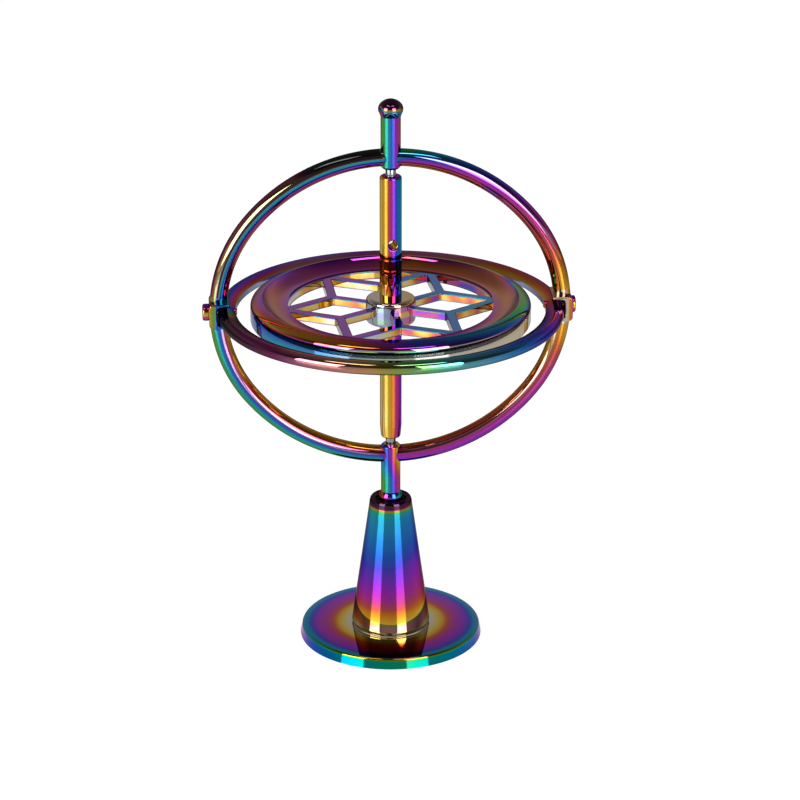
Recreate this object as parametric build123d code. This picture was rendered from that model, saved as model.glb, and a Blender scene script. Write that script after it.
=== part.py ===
"""Mirror-plated metal gyroscope standing on the ball cup of a small conical stand.

Millimetres, +Z up, origin on the table at the centre of the stand's round foot.
The upright oval ring lies in the XZ plane and the level ring in an XY plane.
The flywheel turns about the vertical line through the origin.
"""
from build123d import *
import math
import os

# ---- stand ----
BASE_RADIUS = 15.65
BASE_THICKNESS = 1.85
BASE_DRAFT = 0.3  # how much smaller the rim is at the top
BASE_EDGE_ROUND = 0.4
BASE_LAND = 1.6  # width of the ring it stands on
BASE_RECESS = 0.5
SPIGOT_RADIUS = 3.2  # raised centre that locates the cone
SPIGOT_HEIGHT = 1.8
CONE_HEIGHT = 23.55
CONE_FOOT_RADIUS = 6.75
CONE_NECK_RADIUS = 3.65
CONE_SEAM = 0.3  # height of the upright edge at the cone's foot
LIP_WIDTH = 0.6
LIP_HEIGHT = 1.1
LIP_FUNNEL = 0.65
SCREW_RADIUS = 1.5
SCREW_HEAD_RADIUS = 2.6
SCREW_GRIP = 7.0  # how deep the screw holds in the cone
SCREW_SLOT_WIDTH = 0.6
SCREW_SLOT_DEPTH = 0.6

# ---- ball joint ----
BALL_RADIUS = 2.08
BALL_CLEARANCE = 0.05
BALL_SINK = 0.24  # ball centre below the top of the cup's lip

# ---- upright ring and its two posts ----
RING_WIDTH = 57.5  # on the centre line of the bar
RING_HEIGHT = 52.4
RING_BAR = 2.94
POST_RADIUS = 1.67
POST_REACH = 8.04  # ring centre line to the centre of the ball or knob
POST_TIP = 0.45  # how far a post stands out on the inside of the ring
POST_CHAMFER = 0.4
KNOB_RADIUS = 2.08
KNOB_DOME = 1.81
KNOB_BAND = 0.2
KNOB_CONE = 1.0

# ---- joint blocks and level ring ----
BLOCK_INSIDE = 1.85  # block reach from the centre line towards the rotor
BLOCK_OUTSIDE = 1.55
BLOCK_DEPTH = 5.8
BLOCK_HEIGHT = 4.3
BLOCK_ROUND = 0.5
NOTCH_HEIGHT = 3.2
NOTCH_ROUND = 0.5
LEVEL_RING_OVERREACH = 0.15  # outer edge past the upright ring's centre line
LEVEL_RING_WIDTH = 3.05
LEVEL_RING_HEIGHT = 2.22
LEVEL_RING_INNER_FACE = 0.94
LEVEL_RING_DROP = 0.3  # its centre below the middle of the notches
SEAT_CLEARANCE = 0.05
RIVET_RADIUS = 0.55
RIVET_HEAD_RADIUS = 1.43
LEFT_HEAD_THICKNESS = 1.1
RIGHT_HEAD_THICKNESS = 0.7
RIVET_HEAD_ROUND = 0.4
RIVET_PROUD = 0.27

# ---- flywheel ----
ROTOR_GAP = 2.42  # flywheel to level ring
ROTOR_DROP = 0.15  # flywheel centre below the ring centre
RIM_TOP = 2.2  # heights are from the flywheel's mid-plane
RIM_BOTTOM = 1.9
RIM_SHOULDER = 0.9
BEAD_WIDTH = 2.0
BEAD_CROWN = 0.36
DISH_WIDTH = 4.27
DISH_SAG = 0.72
RIM_UNDER_LAND = 1.9
RIM_UNDER_ROUND = 0.3
WEB_TOP = 0.8
WEB_THICKNESS = 1.4
STAR_POINTS = 6
STAR_NODE_RADIUS = 10.6
STAR_BAR = 1.6
STAR_SPOKE = 1.4
STAR_PHASE = 4.0  # degrees from +X to the first point
HUB_RADIUS = 4.18
HUB_HALF_HEIGHT = 2.2
HUB_ROUND = 0.5

# ---- spindle, pivots and bearings ----
SPINDLE_RADIUS = 1.84
SPINDLE_END_GAP = 1.2
SPINDLE_TOP_ROUND = 0.45
SPINDLE_TAPER_LENGTH = 2.2
SPINDLE_TAPER = 0.16
STRING_HOLE_RADIUS = 0.78
STRING_HOLE_SINK = 0.28
STRING_HOLE_HEIGHT = 11.5  # above the ring centre
STRING_HOLE_HEADING = -81.0  # degrees from +X
PIVOT_RADIUS = 0.875
PIVOT_HOLD = 4.0  # length held in the spindle
PIVOT_POINT_ANGLE = 60.0
PIVOT_POINT_RADIUS = 0.12
PIVOT_CLEARANCE = 0.04
BEARING_RADIUS = 1.2
BEARING_LENGTH = 3.0
BEARING_SHOULDER = 0.3
BEARING_BORE_DEPTH = 1.3
PIVOT_END_PLAY = 0.05

# ---- places worked out from the sizes above ----
ball_z = BASE_THICKNESS + CONE_HEIGHT - BALL_SINK
ring_z = ball_z + POST_REACH + RING_HEIGHT / 2
knob_z = ring_z + RING_HEIGHT / 2 + POST_REACH
rotor_z = ring_z - ROTOR_DROP
cup_radius = BALL_RADIUS + BALL_CLEARANCE
half_width = RING_WIDTH / 2
half_height = RING_HEIGHT / 2
post_tip_z = half_height - RING_BAR / 2 - POST_TIP
spindle_end = post_tip_z - SPINDLE_END_GAP
level_outer = half_width + LEVEL_RING_OVERREACH
level_inner = level_outer - LEVEL_RING_WIDTH
rotor_radius = level_inner - ROTOR_GAP
crest_radius = rotor_radius - BEAD_WIDTH
opening_radius = crest_radius - DISH_WIDTH
block_face = half_width + BLOCK_OUTSIDE
bearing_bore = PIVOT_RADIUS + PIVOT_CLEARANCE
neck_z = KNOB_BAND / 2 + KNOB_CONE
screw_head_height = SCREW_HEAD_RADIUS - SCREW_RADIUS


def turned(outline):
    """Solid of revolution about Z from a closed outline drawn as (radius, height)."""
    return revolve(make_face(Plane.XZ * outline), Axis.Z)


def upright_rod(radius, low, high):
    """Plain cylinder on the Z axis between two heights."""
    return Pos(0, 0, (low + high) / 2) * Cylinder(radius, high - low)


def base_disc():
    """Round foot with a drafted rim, a recess beneath and a spigot for the cone."""
    rim_top = BASE_RADIUS - BASE_DRAFT
    shoulder = BASE_THICKNESS - BASE_EDGE_ROUND
    spigot_top = BASE_THICKNESS + SPIGOT_HEIGHT
    recess_radius = BASE_RADIUS - BASE_LAND
    edge = rim_top - BASE_EDGE_ROUND
    outline = Polyline((edge, BASE_THICKNESS), (SPIGOT_RADIUS, BASE_THICKNESS),
                       (SPIGOT_RADIUS, spigot_top), (0, spigot_top), (0, BASE_RECESS),
                       (recess_radius, BASE_RECESS), (recess_radius, 0), (BASE_RADIUS, 0),
                       (rim_top, shoulder))
    corner = RadiusArc((rim_top, shoulder), (edge, BASE_THICKNESS), -BASE_EDGE_ROUND)
    disc = turned(outline + corner)
    hole = upright_rod(SCREW_RADIUS, 0, spigot_top)
    sink = Pos(0, 0, BASE_RECESS + screw_head_height / 2) * Cone(
        SCREW_HEAD_RADIUS, SCREW_RADIUS, screw_head_height)
    return disc - hole - sink


def stand_screw():
    """Countersunk screw that draws the cone onto the foot."""
    tip = BASE_THICKNESS + SPIGOT_HEIGHT + SCREW_GRIP
    head = Pos(0, 0, BASE_RECESS + screw_head_height / 2) * Cone(
        SCREW_HEAD_RADIUS, SCREW_RADIUS, screw_head_height)
    shank = upright_rod(SCREW_RADIUS, BASE_RECESS, tip)
    slot = Box(2 * SCREW_RADIUS, SCREW_SLOT_WIDTH, SCREW_SLOT_DEPTH)
    cross = slot + Rot(0, 0, 90) * slot
    return head + shank - Pos(0, 0, BASE_RECESS + SCREW_SLOT_DEPTH / 2) * cross


def stand_cone():
    """Tapered column whose rolled lip leads into the cup that holds the ball."""
    foot = BASE_THICKNESS
    top = foot + CONE_HEIGHT
    neck = top - LIP_HEIGHT
    crown = CONE_NECK_RADIUS - LIP_WIDTH
    mouth_z = top - LIP_FUNNEL
    mouth = cup_radius + BALL_SINK
    seat_z = mouth_z - LIP_FUNNEL / 2
    seat = math.sqrt(cup_radius**2 - (ball_z - seat_z)**2)
    lip = EllipticalCenterArc((crown, neck), LIP_WIDTH, LIP_HEIGHT, arc_size=90)
    outline = Polyline((mouth, mouth_z), (seat, seat_z), (0, seat_z), (0, foot),
                       (CONE_FOOT_RADIUS, foot), (CONE_FOOT_RADIUS, foot + CONE_SEAM),
                       (CONE_NECK_RADIUS, neck))
    funnel = EllipticalCenterArc((crown, mouth_z), crown - mouth, LIP_FUNNEL, 90, arc_size=90)
    column = turned(outline + lip + funnel)
    cup = Pos(0, 0, ball_z) * Sphere(cup_radius)
    pocket = upright_rod(SPIGOT_RADIUS, foot, foot + SPIGOT_HEIGHT)
    pilot = upright_rod(SCREW_RADIUS, foot, foot + SPIGOT_HEIGHT + SCREW_GRIP)
    return column - cup - pocket - pilot


def lower_ball():
    """Ball that the gyroscope stands and leans on."""
    return Pos(0, 0, ball_z) * Sphere(BALL_RADIUS)


def two_arc_quarter(across, rise):
    """Side radius, crown radius and joining angle of a quarter ellipse drawn as two arcs."""
    side_radius = rise**2 / across
    side_shift = across - side_radius
    crown_radius = (rise**2 + side_shift**2 - side_radius**2) / (2 * (rise - side_radius))
    join = math.degrees(math.atan((crown_radius - rise) / side_shift))
    return side_radius, crown_radius, join


def oval_path():
    """Four tangent arcs, tighter at the sides and flatter above and below."""
    side_radius, crown_radius, join = two_arc_quarter(half_width, half_height)
    side_shift = half_width - side_radius
    crown_shift = crown_radius - half_height
    side_arc = 2 * join
    crown_arc = 180 - side_arc
    right = CenterArc((side_shift, 0), side_radius, -join, side_arc)
    top = CenterArc((0, -crown_shift), crown_radius, join, crown_arc)
    left = CenterArc((-side_shift, 0), side_radius, 180 - join, side_arc)
    bottom = CenterArc((0, crown_shift), crown_radius, 180 + join, crown_arc)
    return Plane.XZ * (right + top + left + bottom)


def joint_block(side):
    """Cheek on the ring bar, rounded all over, that carries the level ring."""
    length = BLOCK_INSIDE + BLOCK_OUTSIDE
    centre = half_width + (BLOCK_OUTSIDE - BLOCK_INSIDE) / 2
    block = Pos(side * centre, 0, 0) * Box(length, BLOCK_DEPTH, BLOCK_HEIGHT)
    return fillet(block.edges(), BLOCK_ROUND)


def joint_notch(side):
    """Slot through a joint block, open towards the rotor, with round corners."""
    floor = level_outer + SEAT_CLEARANCE
    mouth = half_width - 2 * BLOCK_INSIDE
    centre = (floor + mouth) / 2
    notch = Pos(side * centre, 0, 0) * Box(floor - mouth, 2 * BLOCK_DEPTH, NOTCH_HEIGHT)
    corners = notch.edges().filter_by(Axis.Y).sort_by(Axis.X)
    floor_corners = corners[-2:] if side > 0 else corners[:2]
    return fillet(floor_corners, NOTCH_ROUND)


def vertical_ring():
    """Oval bar ring cast in one with its posts and the two joint blocks."""
    section = Plane(origin=(half_width, 0, 0), z_dir=(0, 0, 1)) * Circle(RING_BAR / 2)
    ring = sweep(section, path=oval_path())
    post_top = half_height + POST_REACH - neck_z
    post_end = half_height + POST_REACH
    upper = upright_rod(POST_RADIUS, post_tip_z, post_top)
    upper = chamfer(upper.edges().sort_by(Axis.Z)[0], POST_CHAMFER)
    lower = upright_rod(POST_RADIUS, -post_end, -post_tip_z)
    lower = chamfer(lower.edges().sort_by(Axis.Z)[-1], POST_CHAMFER)
    frame = ring + upper + lower
    frame += joint_block(1) + joint_block(-1)
    frame -= joint_notch(1) + joint_notch(-1)
    frame -= Rot(0, 90, 0) * Cylinder(RIVET_RADIUS, 2 * block_face + 2)
    shoulder = post_tip_z + BEARING_SHOULDER
    entry = PIVOT_RADIUS + 2 * PIVOT_CLEARANCE
    frame -= upright_rod(entry, post_tip_z - POST_TIP, shoulder)
    frame -= upright_rod(BEARING_RADIUS, shoulder, post_top)
    frame -= upright_rod(BEARING_RADIUS, -post_tip_z - BEARING_LENGTH, -post_tip_z + POST_TIP)
    frame -= Pos(0, 0, -post_end) * Sphere(cup_radius)
    return Pos(0, 0, ring_z) * frame


def upper_knob():
    """Domed knob with a coned underside and a long shank pressed into the post."""
    dome_base = KNOB_BAND / 2
    shank_end = post_tip_z + BEARING_SHOULDER + BEARING_LENGTH - half_height - POST_REACH
    side_radius, crown_radius, join = two_arc_quarter(KNOB_RADIUS, KNOB_DOME - dome_base)
    shoulder = CenterArc((KNOB_RADIUS - side_radius, dome_base), side_radius, 0, join)
    crown = CenterArc((0, KNOB_DOME - crown_radius), crown_radius, join, 90 - join)
    outline = Polyline((0, KNOB_DOME), (0, shank_end), (BEARING_RADIUS, shank_end),
                       (BEARING_RADIUS, -neck_z), (POST_RADIUS, -neck_z),
                       (KNOB_RADIUS, -dome_base), (KNOB_RADIUS, dome_base))
    return Pos(0, 0, knob_z) * turned(outline + shoulder + crown)


def bearing_cup():
    """Bush with a running bore and a conical thrust seat, mouth down at height zero."""
    bush = upright_rod(BEARING_RADIUS, 0, BEARING_LENGTH)
    seat = Pos(0, 0, BEARING_BORE_DEPTH + bearing_bore / 2) * Cone(bearing_bore, 0, bearing_bore)
    return bush - upright_rod(bearing_bore, 0, BEARING_BORE_DEPTH) - seat


def upper_bearing():
    """Bush held against the shoulder of the upper post."""
    return Pos(0, 0, ring_z + post_tip_z + BEARING_SHOULDER) * bearing_cup()


def lower_bearing():
    """Bush pressed into the lower post, flush with its tip."""
    return Pos(0, 0, ring_z - post_tip_z) * Rot(180, 0, 0) * bearing_cup()


def pivot_pin(start, tip):
    """Steel pin from its hidden end to a coned point, drawn pointing up."""
    taper = (PIVOT_RADIUS - PIVOT_POINT_RADIUS) / math.tan(math.radians(PIVOT_POINT_ANGLE / 2))
    outline = Polyline((0, start), (PIVOT_RADIUS, start), (PIVOT_RADIUS, tip - taper),
                       (PIVOT_POINT_RADIUS, tip), (0, tip), (0, start))
    return turned(outline)


def upper_pivot():
    """Pin in the top of the spindle, turning in the upper bush."""
    seat = post_tip_z + BEARING_SHOULDER + BEARING_BORE_DEPTH
    return Pos(0, 0, ring_z) * pivot_pin(spindle_end - PIVOT_HOLD, seat)


def lower_pivot():
    """Pin in the foot of the spindle, its point on the lower bush's seat."""
    seat = post_tip_z + BEARING_BORE_DEPTH + bearing_bore - PIVOT_POINT_RADIUS - PIVOT_END_PLAY
    return Pos(0, 0, ring_z) * Rot(180, 0, 0) * pivot_pin(spindle_end - PIVOT_HOLD, seat)


def horizontal_ring():
    """Level ring with a round outer edge and a flat inner face."""
    half = LEVEL_RING_HEIGHT / 2
    face = LEVEL_RING_INNER_FACE / 2
    round_centre = level_outer - half
    run = round_centre - level_inner
    flank = (run**2 + (half - face)**2) / (2 * (half - face))
    outer = CenterArc((round_centre, 0), half, -90, 180)
    upper = RadiusArc((level_inner, face), (round_centre, half), flank)
    lower = RadiusArc((round_centre, -half), (level_inner, -face), flank)
    inner = Line((level_inner, -face), (level_inner, face))
    ring = Pos(0, 0, -LEVEL_RING_DROP) * turned(outer + upper + lower + inner)
    ring -= Rot(0, 90, 0) * Cylinder(RIVET_RADIUS, 2 * block_face)
    return Pos(0, 0, ring_z) * ring


def ring_rivet(side, head_thickness):
    """Rivet through a joint block and the level ring, headed on the outside."""
    inner_end = level_inner - RIVET_PROUD
    outer_end = block_face + head_thickness
    shank = upright_rod(RIVET_RADIUS, inner_end, block_face)
    head = upright_rod(RIVET_HEAD_RADIUS, block_face, outer_end)
    head = fillet(head.edges().sort_by(Axis.Z)[-1], RIVET_HEAD_ROUND)
    return Pos(0, 0, ring_z) * Rot(0, side * 90, 0) * (shank + head)


def rim():
    """Heavy rim: upright wall, crowned bead, and a dish falling to the opening."""
    web_bottom = WEB_TOP - WEB_THICKNESS
    under_edge = rotor_radius - RIM_UNDER_ROUND
    under_land = under_edge - RIM_UNDER_LAND
    bead = SagittaArc((rotor_radius, RIM_SHOULDER), (crest_radius, RIM_TOP), -BEAD_CROWN)
    dish = SagittaArc((crest_radius, RIM_TOP), (opening_radius, WEB_TOP), DISH_SAG)
    bore = Line((opening_radius, WEB_TOP), (opening_radius, web_bottom))
    under = Polyline((opening_radius, web_bottom), (under_land, -RIM_BOTTOM),
                     (under_edge, -RIM_BOTTOM))
    corner = RadiusArc((under_edge, -RIM_BOTTOM), (rotor_radius, RIM_UNDER_ROUND - RIM_BOTTOM),
                       -RIM_UNDER_ROUND)
    wall = Line((rotor_radius, RIM_UNDER_ROUND - RIM_BOTTOM), (rotor_radius, RIM_SHOULDER))
    return turned(bead + dish + bore + under + corner + wall)


def star_bar(start, end, width):
    """Flat bar in plan between two points."""
    middle = (start + end) / 2
    run = end - start
    heading = math.degrees(math.atan2(run.Y, run.X))
    return Pos(middle.X, middle.Y) * Rot(0, 0, heading) * Rectangle(run.length, width)


def on_circle(radius, heading):
    """Point in plan at a radius and a heading in degrees."""
    angle = math.radians(heading)
    return Vector(radius * math.cos(angle), radius * math.sin(angle))


def star_web():
    """Six kites: a spoke to each node, and two bars from it to the rim's star points."""
    pitch = 360 / STAR_POINTS
    bars = Circle(HUB_RADIUS)
    rim_reach = opening_radius + STAR_BAR / 2
    for step in range(STAR_POINTS):
        heading = STAR_PHASE + pitch * (step + 0.5)
        node = on_circle(STAR_NODE_RADIUS, heading)
        bars += star_bar(Vector(0, 0), node, STAR_SPOKE)
        bars += Pos(node.X, node.Y) * Circle(STAR_BAR / 2)
        bars += star_bar(node, on_circle(rim_reach, heading - pitch / 2), STAR_BAR)
        bars += star_bar(node, on_circle(rim_reach, heading + pitch / 2), STAR_BAR)
    bars &= Circle(opening_radius + STAR_BAR / 4)
    return Pos(0, 0, WEB_TOP - WEB_THICKNESS) * extrude(bars, WEB_THICKNESS)


def flywheel():
    """Rim, star web and hub cast in one, bored for the spindle."""
    hub = Cylinder(HUB_RADIUS, 2 * HUB_HALF_HEIGHT)
    hub = fillet(hub.edges().filter_by(GeomType.CIRCLE), HUB_ROUND)
    wheel = rim() + star_web() + hub
    wheel -= Cylinder(SPINDLE_RADIUS, 4 * HUB_HALF_HEIGHT)
    return Pos(0, 0, rotor_z) * wheel


def spindle():
    """Round bar through the hub, cross-drilled above for the pull string."""
    top_edge = SPINDLE_RADIUS - SPINDLE_TOP_ROUND
    tapered = SPINDLE_RADIUS - SPINDLE_TAPER
    foot_edge = tapered - SPINDLE_TOP_ROUND
    foot_round_z = SPINDLE_TOP_ROUND - spindle_end
    taper_z = SPINDLE_TAPER_LENGTH - spindle_end
    outline = Polyline((top_edge, spindle_end), (0, spindle_end), (0, -spindle_end),
                       (foot_edge, -spindle_end))
    foot = RadiusArc((foot_edge, -spindle_end), (tapered, foot_round_z), -SPINDLE_TOP_ROUND)
    side = Polyline((tapered, foot_round_z), (SPINDLE_RADIUS, taper_z),
                    (SPINDLE_RADIUS, spindle_end - SPINDLE_TOP_ROUND))
    head = RadiusArc((SPINDLE_RADIUS, spindle_end - SPINDLE_TOP_ROUND), (top_edge, spindle_end),
                     -SPINDLE_TOP_ROUND)
    bar = turned(outline + foot + side + head)
    bar -= upright_rod(PIVOT_RADIUS, spindle_end - PIVOT_HOLD, spindle_end)
    bar -= upright_rod(PIVOT_RADIUS, -spindle_end, PIVOT_HOLD - spindle_end)
    hole = Rot(0, 90, 0) * Cylinder(STRING_HOLE_RADIUS, 4 * SPINDLE_RADIUS)
    mouth_radius = STRING_HOLE_RADIUS + STRING_HOLE_SINK
    mouth = Cone(STRING_HOLE_RADIUS, mouth_radius, STRING_HOLE_SINK)
    for turn in (90, -90):
        hole += Rot(0, turn, 0) * Pos(0, 0, SPINDLE_RADIUS - STRING_HOLE_SINK / 2) * mouth
    bar -= Pos(0, 0, STRING_HOLE_HEIGHT) * Rot(0, 0, STRING_HOLE_HEADING) * hole
    return Pos(0, 0, ring_z) * bar


NODES = {
    "base_disc": base_disc(),
    "stand_screw": stand_screw(),
    "stand_cone": stand_cone(),
    "lower_ball": lower_ball(),
    "vertical_ring": vertical_ring(),
    "upper_knob": upper_knob(),
    "upper_bearing": upper_bearing(),
    "lower_bearing": lower_bearing(),
    "horizontal_ring": horizontal_ring(),
    "left_rivet": ring_rivet(-1, LEFT_HEAD_THICKNESS),
    "right_rivet": ring_rivet(1, RIGHT_HEAD_THICKNESS),
    "flywheel": flywheel(),
    "spindle": spindle(),
    "upper_pivot": upper_pivot(),
    "lower_pivot": lower_pivot(),
}

os.makedirs("parts", exist_ok=True)
for name, part in NODES.items():
    export_step(part, f"parts/{name}.step")
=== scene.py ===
import math

import bmesh
import bpy
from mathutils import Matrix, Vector


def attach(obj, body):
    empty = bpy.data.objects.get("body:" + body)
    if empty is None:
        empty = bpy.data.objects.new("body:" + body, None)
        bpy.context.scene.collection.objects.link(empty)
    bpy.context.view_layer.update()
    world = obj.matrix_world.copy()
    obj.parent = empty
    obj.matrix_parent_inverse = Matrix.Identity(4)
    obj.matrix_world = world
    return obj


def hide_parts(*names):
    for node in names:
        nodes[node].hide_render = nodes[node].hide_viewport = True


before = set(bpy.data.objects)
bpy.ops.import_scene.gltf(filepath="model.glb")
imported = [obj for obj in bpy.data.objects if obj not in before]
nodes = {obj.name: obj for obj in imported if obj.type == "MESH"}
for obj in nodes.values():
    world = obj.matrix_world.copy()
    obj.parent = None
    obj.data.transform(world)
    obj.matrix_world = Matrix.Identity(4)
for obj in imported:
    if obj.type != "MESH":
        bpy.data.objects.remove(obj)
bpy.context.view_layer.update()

# Lengths are in millimetres, and become metres where a mesh or light is made. A name in _Z is a
# height above the table. Other heights are measured from the _Z of their piece, and on the stand
# from the table.
MM = 0.001

TURN = 256  # segments round an axis
WIDE_TURN = 384  # round the flywheel's rim and the level ring
NARROW_TURN = 96  # round the rivets and pivots
SHARP = 38.0  # degrees between two faces, above which their edge is shaded sharp
WELD = 2e-7  # metres, nearer than which two points are one

BALL_Z = 25.16
RING_Z = 59.4
ROTOR_Z = 59.25
KNOB_Z = 93.64

FOOT_RADIUS = 15.65
FOOT_TOP = 1.85
RECESS_RADIUS = 14.05  # of the recess under the foot
RECESS_TOP = 0.5
SCREW_RADIUS = 1.5  # of the screw's hole
SPIGOT_RADIUS = 3.2  # of the foot's spigot, which fills the pocket under the column
SPIGOT_TOP = 3.65
LIP_HEIGHT = 24.3
BALL_RADIUS = 2.08
SOCKET_RADIUS = 2.13  # of the cup under the ball, and of the post's hollow above it

HALF_WIDTH = 28.75  # of the upright ring's centre line
HALF_HEIGHT = 26.2
BAR_RADIUS = 1.47
BAR_START = 1.8  # where a quarter of the ring begins, inside its joint block
POST_RADIUS = 1.67
POST_TIP = 24.28
POST_END = 34.24
TIP_RADIUS = 1.27
BORE_RADIUS = 1.2  # of the posts' bores for the bushes and the knob's pin
KNOB_TOP = 1.81
KNOB_FOOT = -1.1

BLOCK_END = 26.9
BLOCK_FACE = 30.3
BLOCK_HALF = 2.15
BLOCK_DEPTH = 2.9
NOTCH_FACE = 28.95
NOTCH_HALF = 1.6
LEVEL_OUTER = 28.9
LEVEL_INNER = 25.85
LEVEL_DROP = 0.3  # of the level ring below the middle of the joint blocks
RIVET_RADIUS = 0.55
RIVET_HEAD = 1.43  # radius
RIVET_START = 25.58  # of its inner end from the axis
RIVET_ENDS = {"left_rivet": (-1, 31.4), "right_rivet": (1, 31.0)}  # side, and its head's end

ROTOR_RADIUS = 23.43
WALL_TOP = 0.86
CROWN_FOOT = 0.94
CREST_RADIUS = 21.43
CREST_HEIGHT = 2.2
RIM_BOTTOM = -1.9
OPENING_RADIUS = 17.16
WEB_TOP = 0.8
WEB_BOTTOM = -0.6
HUB_RADIUS = 4.18
HUB_HALF = 2.2
STAR_PHASE = 4.0  # degrees
STAR_NODE = 10.6  # radius at which a spoke forks into two bars
STAR_SPOKE = 0.7  # half the width of a spoke
STAR_BAR = 0.8  # half the width of a bar

SPINDLE_RADIUS = 1.84
SPINDLE_END = 23.08
HOLE_HEIGHT = 11.5
HOLE_HEADING = -81.0  # degrees
HOLE_RADIUS = 0.78
HOLE_CHAMFER = 0.28
PIVOT_RADIUS = 0.875
PIVOT_SHOULDER = 24.57
PIVOT_POINT = 25.88

# Radii between which one part of the flywheel's finish passes into the next.
HUB_EDGE = (4.15, 4.3)
DISH_EDGE = (17.0, 17.2)
CREST_EDGE = (21.2, 21.5)
WALL_EDGE = (23.3, 23.42)

UPRIGHT, LEVEL = (1, 0, 1), (1, 1, 0)  # planes of the two rings
BRUSHED = (1, 1, 0.06)  # stretches the unevenness of a finish along Z

# The camera and the lamps, in metres and degrees.
LENS, SENSOR = 135.0, 36.0
PICTURE = 800  # pixels
CAMERA_PLACE = (-0.0331, -0.4710, 0.2269)
CAMERA_HEADING = -94.02
RING_SEEN_AT = (390.69, 307.85)  # pixels from the upper left corner
LAMP_DISTANCE = 0.9
LAMPS = (  # name, azimuth, elevation, width, height, radiance
    ("key_left", -48, 18, 0.48, 0.52, 6.0),
    ("key_right", 33, 19.5, 0.44, 0.57, 5.5),
    ("high_left", -45, 66, 0.36, 0.12, 5.0),
    ("high_right", 33, 66, 0.36, 0.12, 5.0),
)
TABLE_GLOW = 0.76  # together with the lit grey of the table, it renders white
MIRRORED_GLOW = 0.3


# ---- outlines, drawn as (radius, height) ----

def arc(centre, radii, start, end, steps=16):
    """Points of an elliptical arc between two angles in degrees."""
    points = []
    for step in range(steps + 1):
        angle = math.radians(start + (end - start) * step / steps)
        points.append((centre[0] + radii[0] * math.cos(angle),
                       centre[1] + radii[1] * math.sin(angle)))
    return points


def bulged(start, end, sagitta, steps):
    """Points of the circular arc between two points that bulges to the right of travel."""
    first, last = Vector(start), Vector(end)
    chord = last - first
    radius = ((chord.length / 2) ** 2 + sagitta ** 2) / (2 * sagitta)
    right = Vector((chord.y, -chord.x)).normalized()
    centre = (first + last) / 2 + right * (sagitta - radius)
    a0 = math.atan2(first.y - centre.y, first.x - centre.x)
    sweep = 2 * math.asin(chord.length / (2 * radius))
    return [(centre.x + radius * math.cos(a0 + sweep * s / steps),
             centre.y + radius * math.sin(a0 + sweep * s / steps)) for s in range(steps + 1)]


def eased(points, closed=True):
    """Outline in which each corner given as (x, y, ease) is rounded off."""
    steps = 6
    result = []
    count = len(points)
    for i, point in enumerate(points):
        corner = Vector(point[:2])
        end = not closed and i in (0, count - 1)
        if len(point) < 3 or end:
            result.append(tuple(corner))
            continue
        before = Vector(points[i - 1][:2]) - corner
        after = Vector(points[(i + 1) % count][:2]) - corner
        a = corner + before.normalized() * min(point[2], before.length * 0.49)
        b = corner + after.normalized() * min(point[2], after.length * 0.49)
        for step in range(steps + 1):
            t = step / steps
            result.append(tuple(a * (1 - t) ** 2 + corner * 2 * t * (1 - t) + b * t ** 2))
    return result


# ---- meshes ----

def finish_mesh(name, mesh, sharp=SHARP):
    """Object from a mesh in metres, welded, facing outwards and smooth up to an angle."""
    work = bmesh.new()
    work.from_mesh(mesh)
    bmesh.ops.remove_doubles(work, verts=work.verts, dist=WELD)
    bmesh.ops.recalc_face_normals(work, faces=work.faces)
    work.to_mesh(mesh)
    work.free()
    mesh.polygons.foreach_set("use_smooth", [True] * len(mesh.polygons))
    mesh.set_sharp_from_angle(angle=math.radians(sharp))
    piece = bpy.data.objects.new(name, mesh)
    bpy.context.scene.collection.objects.link(piece)
    return piece


def from_points(name, points, faces, sharp=SHARP):
    """Object from points in millimetres and the faces between them."""
    mesh = bpy.data.meshes.new(name)
    mesh.from_pydata([(x * MM, y * MM, z * MM) for x, y, z in points], [], faces)
    return finish_mesh(name, mesh, sharp)


def lathe(name, outline, height=0.0, flip=1, sharp=SHARP, segments=TURN):
    """Closed outline turned about Z, moved up by height, or hung upside down with flip -1."""
    count = len(outline)
    points = []
    for step in range(segments):
        angle = 2 * math.pi * step / segments
        cosine, sine = math.cos(angle), math.sin(angle)
        points += [(r * cosine, r * sine, height + flip * z) for r, z in outline]
    faces = []
    for step in range(segments):
        here, there = step * count, (step + 1) % segments * count
        for i in range(count):
            j = (i + 1) % count
            if outline[i][0] == 0 and outline[j][0] == 0:
                continue
            faces.append((here + i, here + j, there + j, there + i))
    return from_points(name, points, faces, sharp)


def plate(name, loops, low, high, ease, lay=lambda x, y, z: (x, y, z)):
    """Flat plate with holes, its edges rounded, laid in the XY plane or moved by a function."""
    flat_reach = ((high - low) / 2 - ease) * MM
    curve = bpy.data.curves.new(name, "CURVE")
    curve.dimensions = "2D"
    curve.fill_mode = "BOTH"
    curve.extrude = flat_reach
    curve.bevel_depth = ease * MM
    curve.offset = -ease * MM
    curve.bevel_resolution = 3
    for loop in loops:
        spline = curve.splines.new("POLY")
        spline.points.add(len(loop) - 1)
        for point, (x, y) in zip(spline.points, loop):
            point.co = (x * MM, y * MM, 0, 1)
        spline.use_cyclic_u = True
    drawn = bpy.data.objects.new(name + "_outline", curve)
    bpy.context.scene.collection.objects.link(drawn)
    bpy.context.view_layer.update()
    mesh = bpy.data.meshes.new_from_object(drawn)
    bpy.data.objects.remove(drawn)
    middle = (low + high) / 2 * MM
    for vertex in mesh.vertices:
        x, y, z = vertex.co
        vertex.co = lay(x, y, z + middle)
    piece = finish_mesh(name, mesh, 32.0)
    up = (Vector(lay(0, 0, 1)) - Vector(lay(0, 0, 0))).normalized()
    turn_edge_normals(mesh, Vector(lay(0, 0, middle)), up, flat_reach, ease * MM)
    return piece


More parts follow.
